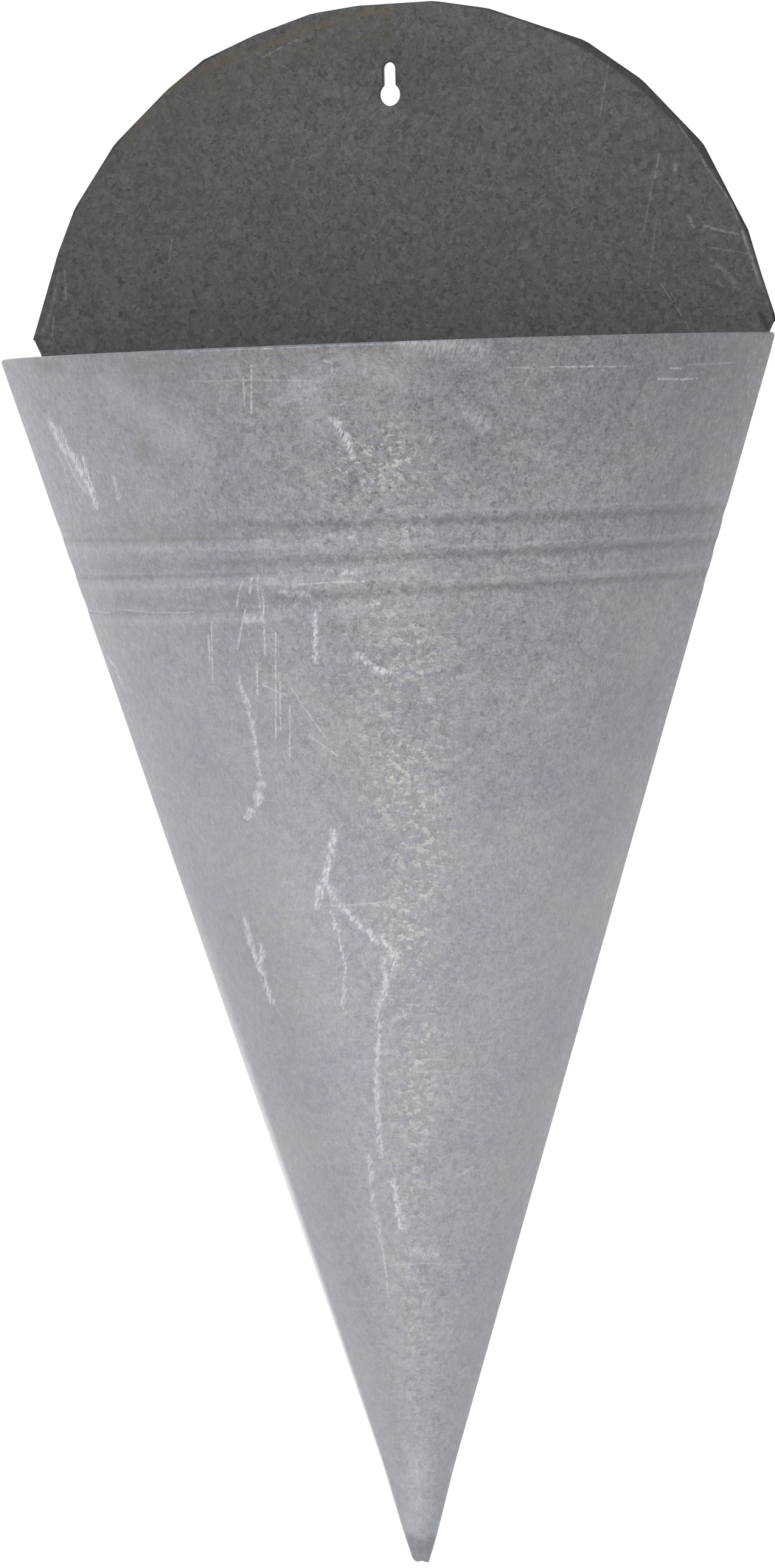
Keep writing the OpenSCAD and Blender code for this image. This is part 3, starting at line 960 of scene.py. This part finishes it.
def dull_solder(settings):
    """Soft solder drawn by hand and left to cool: grey, dull and slightly grainy."""
    material, add = new_material("soft_solder")
    source = add("TexCoord")
    place = add("VectorMath/SCALE", {0: source.outputs["Object"], "Scale": 1 / MM})
    grain = add("TexNoise", {"Vector": place, "Scale": 1 / 1.2, "Detail": 4.0, "Roughness": 0.6})
    cloud = add("TexNoise", {"Vector": place, "Scale": 1 / 6, "Detail": 2.0})
    level = summed(add, ((grain, 0.5), (cloud, 0.5)))
    level = add("Math/ADD", level, 1)
    shade = add("MixRGB/MULTIPLY", 1, rgba(settings.finish.solder), level)
    relief = add("Bump", {"Height": grain, "Distance": 0.1 * MM, "Strength": 0.5})
    rough = add("MapRange", cloud, 0.3, 0.7, 0.32, 0.6)
    shader = add("BsdfPrincipled", {
        "Base Color": shade, "Metallic": 0.6, "Roughness": rough, "Normal": relief})
    add("OutputMaterial", shader)
    return material


def groove_places(cone):
    return [cone.groove_first + i * cone.groove_pitch for i in range(cone.groove_count)]


def wall_rows(cone, wall):
    """Distances down the slope at which the cone's mesh has rows: close in the grooves, wide elsewhere."""
    step, groove_steps = 5 * MM, 12
    rows = {wall.top}
    for groove in groove_places(cone):
        rows.update(groove + cone.groove_width * (j / groove_steps - 0.5) for j in range(groove_steps + 1))
    low, high = min(rows - {wall.top}), max(rows)
    for start, end in ((wall.top, low), (high, wall.end)):
        count = math.ceil((end - start) / step)
        rows.update(start + (end - start) * i / count for i in range(count + 1))
    return sorted(rows)


def groove_dip(cone, turn, s):
    """Depth of the pressed grooves: they fade towards both seams, and are shallower on the left."""
    left_share, left_turn = 0.15, math.radians(-75)
    seam_share, seam_turn = 0.2, math.radians(16)
    dip = 0
    for groove in groove_places(cone):
        off = abs(s - groove)
        if off < cone.groove_width / 2:
            dip = cone.groove_depth / 2 * (1 + math.cos(math.tau * off / cone.groove_width))
    left = left_share + (1 - left_share) * smooth(turn, left_turn, 0)
    seams = seam_share + (1 - seam_share) * smooth(math.pi / 2 - abs(turn), 0, seam_turn)
    return dip * left * seams


def askew(cone, wall, turn, s):
    """Distance up the slope by which rim and grooves are out of true, as made by hand."""
    level_from = 0.4 * wall.slant
    grooves = zip(groove_places(cone), cone.groove_skew)
    skews = [(0, cone.rim_skew), *grooves, (level_from, 0), (wall.slant, 0)]
    return between(skews, s) * math.sin(turn) / math.cos(wall.slope)


def shape_wall(bm, settings, wall):
    """Moves the plain cone's vertices: presses the grooves, lets rim and grooves run askew and adds dents."""
    cone = settings.cone
    edge, rim_fade, tip_fade = 5 * MM, 40 * MM, 60 * MM
    seam_fade, noise_slice = math.radians(20), 3.7
    for vert in bm.verts:
        turn, s, d = wall.place(vert.co)
        if vert.co.y > wall.axis_y + NEAR:
            turn = math.copysign(math.pi / 2, vert.co.x)
        flat = wall.flat(vert.co) / cone.dent_size
        dent = cone.dent_depth * (1 + noise.noise(Vector((flat.x, flat.y, noise_slice)))) / 2
        dent *= smooth(s, edge, rim_fade) * smooth(wall.end - s, edge, tip_fade)
        dent *= smooth(math.pi / 2 - abs(turn), 0, seam_fade)
        old = wall.point(turn, s, d)
        inward = groove_dip(cone, turn, s) + dent + SKIN
        vert.co += wall.point(turn, s - askew(cone, wall, turn, s), d + inward) - old


def coat_tip(bm, settings, wall):
    """Moves the outer skin out towards the tip, where solder was wiped over the sheet."""
    coat_start, coat_full = wall.end - 45 * MM, wall.end - 8 * MM
    skin_depth = 0.2 * MM
    for vert in bm.verts:
        turn, s, d = wall.place(vert.co)
        if vert.co.y > wall.axis_y:
            turn = math.copysign(math.pi / 2, vert.co.x)
        coat = settings.cone.tip_swell * smooth(s, coat_start, coat_full)
        coat *= 1 - smooth(d, skin_depth, settings.sheet.thickness)
        vert.co += wall.point(turn, s, d - coat) - wall.point(turn, s, d)


def map_sheet(bm, cone, wall):
    """Adds the cone's two UV maps: its flat sheet, and the turn round it against the way down its slope."""
    sheet_map = bm.loops.layers.uv.new("sheet")
    turned_map = bm.loops.layers.uv.new("turned")
    step_out = 0.1 * MM
    for face in bm.faces:
        middle = face.calc_center_median()
        outward = middle + face.normal * step_out
        inside = wall.place(outward)[2] > wall.place(middle)[2] and middle.y < wall.axis_y
        shift = Vector((wall.slant if inside else 0, 0))
        for loop in face.loops:
            turn, s, _ = wall.place(loop.vert.co)
            loop[sheet_map].uv = wall.flat(loop.vert.co) + shift
            loop[turned_map].uv = Vector((turn * wall.rim_radius, s + askew(cone, wall, turn, s))) + shift


class WALLCONE_OT_cone(bpy.types.Operator):
    """Rolls the front cone with its rim hem, grooves and side folds"""

    bl_idname = "wallcone.cone"
    bl_label = "Front Cone"

    def execute(self, context):
        settings = context.scene.wall_cone
        sheet, cone = settings.sheet, settings.cone
        wall = Wall(settings)
        turns, fold_steps, fold_end_gap = 120, 12, 0.15 * MM

        # Skin of the right-hand edge: the hem's inner layer, the round fold and the wall
        hem_end = wall.top + cone.hem
        places = [(hem_end, wall.hem_t), (hem_end - cone.hem / 2, wall.hem_t)]
        for i in range(fold_steps + 1):
            angle = math.pi * (1 - i / fold_steps)
            places.append((wall.top * (1 - math.sin(angle)), wall.top * (1 - math.cos(angle))))
        places += [(s, 0) for s in wall_rows(cone, wall)[1:]]
        bm = bmesh.new()
        verts, edges = chain(bm, [wall.point(math.pi / 2, s, d) for s, d in places])
        bmesh.ops.spin(
            bm, geom=verts + edges, cent=(0, wall.axis_y, 0), axis=(0, 0, 1), angle=-math.pi,
            steps=turns, use_merge=False)

        # Both seams: the wall runs straight back to the wall plane and folds in behind the panel
        def at_seam(vert):
            _, s, d = wall.place(vert.co)
            return abs(vert.co.y - wall.axis_y) < NEAR and s > wall.top - NEAR and d < wall.top / 2

        seam = [e for e in bm.edges if e.is_boundary and all(at_seam(v) for v in e.verts)]
        back = bmesh.ops.extrude_edge_only(bm, edges=seam)["geom"]
        for vert in only(bmesh.types.BMVert, back):
            vert.co.y = 0
        corner = only(bmesh.types.BMEdge, back)
        inner = bmesh.ops.extrude_edge_only(bm, edges=corner)["geom"]
        for vert in only(bmesh.types.BMVert, inner):
            reach = min(cone.side_fold, (abs(vert.co.x) - fold_end_gap) / math.cos(wall.slope))
            vert.co.x -= math.copysign(reach * math.cos(wall.slope), vert.co.x)
            vert.co.z += reach * math.sin(wall.slope)
        bmesh.ops.bevel(
            bm, geom=corner, affect="EDGES", offset=cone.fold_radius, segments=3, profile=0.5, material=-1)

        shape_wall(bm, settings, wall)
        bmesh.ops.remove_doubles(bm, verts=bm.verts, dist=NEAR)
        face_front(bm, lambda face: -face.calc_center_median().y)
        bmesh.ops.solidify(bm, geom=bm.faces[:], thickness=sheet.thickness)
        coat_tip(bm, settings, wall)

        # The tip is cut off at a slope, flush with its solder
        slope = Vector((0, math.sin(cone.tip_bevel), math.cos(cone.tip_bevel)))
        cut = bmesh.ops.bisect_plane(
            bm, geom=bm.verts[:] + bm.edges[:] + bm.faces[:], plane_co=(0, 0, wall.tip_z + SKIN),
            plane_no=slope, clear_inner=True)["geom_cut"]
        bmesh.ops.holes_fill(bm, edges=only(bmesh.types.BMEdge, cut), sides=0)
        map_sheet(bm, cone, wall)
        finished("front_cone_sheet", bm, spangled_zinc(settings, wall), "spangled_zinc", "front_cone")
        return {"FINISHED"}


def fold_in_facets(bm, settings, wall):
    """Draws the head's round edge to short straight stretches between the corners seen in the photograph."""
    shoulder_y = wall.shoulder.y + settings.panel.head_drop
    corners = [Vector((x, shoulder_y)) for x in (wall.shoulder.x, -wall.shoulder.x)]
    for pixel in HEAD_CORNERS:
        seen = pixel_on_head(settings.stage, wall, pixel, 0.5) * MM
        corners.append(Vector((seen.x, seen.z - wall.head_z)))
    corners.sort(key=lambda corner: math.atan2(corner.y, corner.x))
    hem_in = wall.head_r - settings.panel.hem
    soft = 5 * MM
    for vert in bm.verts:
        spoke = Vector((vert.co.x, vert.co.z - wall.head_z))
        share = smooth(spoke.length, hem_in - soft, hem_in)
        for low, high in zip(corners, corners[1:]):
            if low.cross(spoke) > 0 and spoke.cross(high) > 0:
                straight = low.cross(high) / spoke.normalized().cross(high - low)
                spoke *= 1 + share * (straight / wall.head_r - 1)
                vert.co.x = spoke.x
                vert.co.z = wall.head_z + min(spoke.y, wall.head_r - SKIN)
                break


def keyhole_points(panel, y):
    """Outline of the keyhole, round from the slot's right side."""
    slot_r = panel.slot_width / 2
    open_angle = math.asin(slot_r / panel.hole_radius)
    hole_steps, slot_steps = 40, 14
    points = []
    for i in range(hole_steps + 1):
        angle = open_angle + (math.tau - 2 * open_angle) * i / hole_steps
        points.append((panel.hole_radius * math.sin(angle), y, panel.hole_radius * math.cos(angle)))
    centre = panel.slot_top - slot_r
    for i in range(slot_steps + 1):
        angle = math.pi * (1 - i / slot_steps)
        points.append((slot_r * math.cos(angle), y, centre + slot_r * math.sin(angle)))
    return points


def lower_outline(settings, wall):
    """The panel's outline under its head: relief cuts at the shoulders, and a taper to its blunt end."""
    sheet, cone, panel = settings.sheet, settings.cone, settings.panel
    inset = (sheet.thickness + cone.groove_depth) / math.cos(wall.slope) + sheet.fold_gap
    neck_x = cone.rim_radius * (1 + panel.neck_height / cone.height) - inset
    neck_z = wall.rim_z + panel.neck_height
    end_x = panel.end_width / 2
    end_z = wall.rim_z + cone.height * ((end_x + inset) / cone.rim_radius - 1)
    return [(neck_x, neck_z), (end_x, end_z), (-end_x, end_z), (-neck_x, neck_z)]


class WALLCONE_OT_panel(bpy.types.Operator):
    """Cuts the back panel, hems its head and punches the keyhole"""

    bl_idname = "wallcone.panel"
    bl_label = "Back Panel"

    def execute(self, context):
        settings = context.scene.wall_cone
        sheet, panel = settings.sheet, settings.panel
        wall = Wall(settings)
        turns, fold_steps, step_width = 144, 12, 1 * MM
        front, over_hem = -wall.hem_t, panel.hem_step - wall.hem_t
        fold_r = -over_hem / 2
        edge_r = wall.head_r - SKIN
        flat_r = edge_r - fold_r
        hem_in = edge_r - panel.hem

        # Section of the head's edge, from the front over the round fold to the hem's end at the back
        section = [(hem_in - step_width, front), (hem_in, over_hem)]
        for i in range(fold_steps + 1):
            angle = math.pi * (i / fold_steps - 0.5)
            section.append((flat_r + fold_r * math.cos(angle), fold_r * (math.sin(angle) - 1)))
        section.append((hem_in, 0))
        shoulder_angle = math.atan2(wall.shoulder.y + panel.head_drop, wall.shoulder.x)
        bm = bmesh.new()
        cos, sin = math.cos(shoulder_angle), math.sin(shoulder_angle)
        verts, edges = chain(bm, [(r * cos, y, wall.head_z + r * sin) for r, y in section])
        last = bmesh.ops.spin(
            bm, geom=verts + edges, cent=(0, 0, wall.head_z), axis=(0, -1, 0),
            angle=math.pi - 2 * shoulder_angle, steps=turns, use_merge=False)["geom_last"]

        # Front of the sheet, between the head's edge, the outline of the rest and the keyhole
        def outermost_front(group):
            return max((v for v in group if v.co.y < over_hem + NEAR), key=lambda v: abs(v.co.x))

        def open_front(edge):
            return edge.is_boundary and all(v.co.y < over_hem + NEAR for v in edge.verts)

        lower, lower_edges = chain(bm, [(x, front, z) for x, z in lower_outline(settings, wall)])
        lower_edges.append(bm.edges.new((outermost_front(verts), lower[0])))
        lower_edges.append(bm.edges.new((lower[-1], outermost_front(only(bmesh.types.BMVert, last)))))
        hole, hole_edges = chain(bm, keyhole_points(panel, front))
        hole_edges.append(bm.edges.new((hole[-1], hole[0])))
        rim = [e for e in bm.edges if open_front(e)]
        bmesh.ops.triangle_fill(bm, edges=rim + lower_edges + hole_edges, use_beauty=True)
        face_front(bm, lambda face: face.calc_area())
        fold_in_facets(bm, settings, wall)

        # The punch has turned the keyhole's edge to the back
        collar = bmesh.ops.extrude_edge_only(bm, edges=hole_edges)["geom"]
        for vert in only(bmesh.types.BMVert, collar):
            vert.co.y = 0
        bmesh.ops.bevel(
            bm, geom=hole_edges, affect="EDGES", offset=panel.punch_round, segments=3, profile=0.5,
            material=-1)
        face_front(bm, lambda face: face.calc_area())
        bmesh.ops.solidify(bm, geom=bm.faces[:], thickness=sheet.thickness)
        finished("back_panel_sheet", bm, weathered_zinc(settings, wall), "weathered_zinc", "back_panel")
        return {"FINISHED"}


class WALLCONE_OT_solder(bpy.types.Operator):
    """Draws the two seams' solder runs and finishes the tip's plug"""

    bl_idname = "wallcone.solder"
    bl_label = "Solder"

    def execute(self, context):
        settings = context.scene.wall_cone
        solder = settings.solder
        wall = Wall(settings)
        material = dull_solder(settings)
        plug = frame["nodes"]["tip_solder"]
        plug.data.materials.clear()
        plug.data.materials.append(material)
        plug_top = max((plug.matrix_world @ v.co).z for v in plug.data.vertices)

        # Each run is a quarter-round section drawn down the corner, which swells and shrinks on its way
        rows, arc_steps, noise_slice = 320, 8, 9.3
        clearance, taper = 0.1 * MM, (-2 * MM, 6 * MM)
        inner = settings.sheet.thickness + clearance
        start = wall.top + settings.cone.hem + solder.radius
        end = (wall.rim_z - plug_top) / math.cos(wall.slope)
        down = Vector((-math.sin(wall.slope), 0, -math.cos(wall.slope)))
        across = Vector((-math.cos(wall.slope), 0, math.sin(wall.slope)))
        x, z = wall.at(start, inner)
        corner = Vector((x, -wall.hem_t, z))
        arc = [math.pi / 2 * i / arc_steps for i in range(arc_steps + 1)]
        points = [corner + solder.radius * (math.cos(a) * across - Vector((0, math.sin(a), 0))) for a in arc]
        for side, node in ((1, "right_seam_solder"), (-1, "left_seam_solder")):
            bm = bmesh.new()
            verts, edges = chain(bm, [corner] + points)
            edges.append(bm.edges.new((verts[-1], verts[0])))
            bmesh.ops.spin(
                bm, geom=verts + edges, cent=corner, axis=(0, 0, 1), dvec=down * (end - start) / rows,
                angle=0, steps=rows, use_merge=False)
            bmesh.ops.holes_fill(bm, edges=[e for e in bm.edges if e.is_boundary], sides=0)
            for vert in bm.verts:
                along = (vert.co - corner).dot(down)
                foot = corner + along * down
                place = Vector((along / solder.ripple, noise_slice * side, vert.co.y / solder.ripple))
                lump = 1 - solder.lumps * (1 + noise.noise(place)) / 2
                vert.co = foot + (vert.co - foot) * smooth(along, *taper) * lump
                limit = wall.at((wall.rim_z - vert.co.z) / math.cos(wall.slope), inner)[0]
                reach = math.sqrt(max(0, limit ** 2 - (vert.co.y - wall.axis_y) ** 2))
                vert.co.x = side * max(0, min(vert.co.x, reach))
            bmesh.ops.recalc_face_normals(bm, faces=bm.faces)
            finished(node + "_run", bm, material, "solder", node)
        return {"FINISHED"}


def show_white(add, own, shown):
    """Gives the camera, reflections and glass their own shader to see, and everything else another."""
    path = add("LightPath")
    seen = add("Math/MAXIMUM", path.outputs["Is Camera Ray"], path.outputs["Is Glossy Ray"])
    seen = add("Math/MAXIMUM", seen, path.outputs["Is Transmission Ray"])
    return add("MixShader", seen, own, shown)


def pale_floor():
    """Painted studio floor: plain, matt and nearly white, so that it only shows where a shadow falls."""
    material, add = new_material("painted_floor")
    plain = add("BsdfDiffuse", {"Color": rgba(linear("#f2f2f2"))})
    glow = add("Emission", WHITE, 0.45)
    lifted = add("AddShader", plain, glow)
    add("OutputMaterial", show_white(add, plain, lifted))
    return material


def soft_light(name, aim, power, size, colour, distance, azimuth, elevation):
    """Rectangular soft light at an angle in degrees round the point that it is aimed at."""
    light = bpy.data.lights.new(name, "AREA")
    light.shape = "RECTANGLE"
    light.size, light.size_y = size
    light.energy = power
    light.color = colour
    lamp = bpy.data.objects.new(name, light)
    a, e = math.radians(azimuth), math.radians(elevation)
    back = Vector((math.sin(a) * math.cos(e), -math.cos(a) * math.cos(e), math.sin(e)))
    lamp.location = aim + distance * back
    lamp.rotation_mode = "QUATERNION"
    lamp.rotation_quaternion = back.to_track_quat("Z", "Y")
    bpy.context.scene.collection.objects.link(lamp)


class WALLCONE_OT_stage(bpy.types.Operator):
    """Sets the camera, the floor, the soft lights and the white background"""

    bl_idname = "wallcone.stage"
    bl_label = "Stage"

    def execute(self, context):
        scene = context.scene
        stage = scene.wall_cone.stage
        camera_data = bpy.data.cameras.new("camera")
        camera_data.sensor_fit = "VERTICAL"
        camera_data.sensor_height = 36
        camera_data.lens = stage.focal_px / PHOTO_H * camera_data.sensor_height
        camera = bpy.data.objects.new("camera", camera_data)
        camera.matrix_world = camera_matrix(stage)
        scene.collection.objects.link(camera)
        scene.camera = camera
        scene.view_settings.view_transform = "Standard"

        floor_size = 3
        bm = bmesh.new()
        bmesh.ops.create_grid(bm, x_segments=1, y_segments=1, size=floor_size)
        bmesh.ops.translate(bm, verts=bm.verts, vec=(0, 0, -stage.floor_drop))
        mesh = bpy.data.meshes.new("floor")
        bm.to_mesh(mesh)
        bm.free()
        mesh.materials.append(pale_floor())
        floor = bpy.data.objects.new("floor", mesh)
        scene.collection.objects.link(floor)

        middle = Vector((0, -60 * MM, (cad_low.z + cad_high.z) / 2))
        soft_light(
            "key", middle, power=stage.key_power, size=(1.6, 1.6), colour=(1, 0.99, 0.98), distance=2.6,
            azimuth=-7, elevation=30)
        soft_light(
            "low", middle, power=stage.low_power, size=(0.3, 0.5), colour=(1, 0.91, 0.76), distance=2.0,
            azimuth=21, elevation=-38)

        world = bpy.data.worlds.new("studio")
        world.use_nodes = True
        world.node_tree.nodes.clear()
        add = adder(world.node_tree)
        soft = add("Background", WHITE, stage.room_strength)
        white = add("Background", WHITE, 1)
        add("OutputWorld", show_white(add, soft, white))
        scene.world = world
        return {"FINISHED"}


OPERATORS = (WALLCONE_OT_stage, WALLCONE_OT_panel, WALLCONE_OT_cone, WALLCONE_OT_solder)


class WALLCONE_PT_sidebar(bpy.types.Panel):
    bl_idname = "WALLCONE_PT_sidebar"
    bl_label = "Wall Cone"
    bl_space_type = "VIEW_3D"
    bl_region_type = "UI"
    bl_category = "Wall Cone"

    def draw(self, context):
        for part in ("sheet", "cone", "panel", "solder", "finish", "stage"):
            group = getattr(context.scene.wall_cone, part)
            box = self.layout.box()
            for name in group.bl_rna.properties.keys():
                if name not in {"rna_type", "name"}:
                    box.prop(group, name)
        for operator in OPERATORS:
            self.layout.operator(operator.bl_idname)


CLASSES = (
    SheetSettings, ConeSettings, PanelSettings, SolderSettings, FinishSettings, StageSettings,
    WallConeSettings, *OPERATORS, WALLCONE_PT_sidebar)


def register():
    for each in CLASSES:
        bpy.utils.register_class(each)
    bpy.types.Scene.wall_cone = PointerProperty(type=WallConeSettings)


def unregister():
    del bpy.types.Scene.wall_cone
    for each in reversed(CLASSES):
        bpy.utils.unregister_class(each)


def main():
    register()
    bpy.ops.wallcone.stage()
    bpy.ops.wallcone.panel()
    bpy.ops.wallcone.cone()
    bpy.ops.wallcone.solder()


if __name__ == "__main__":
    main()
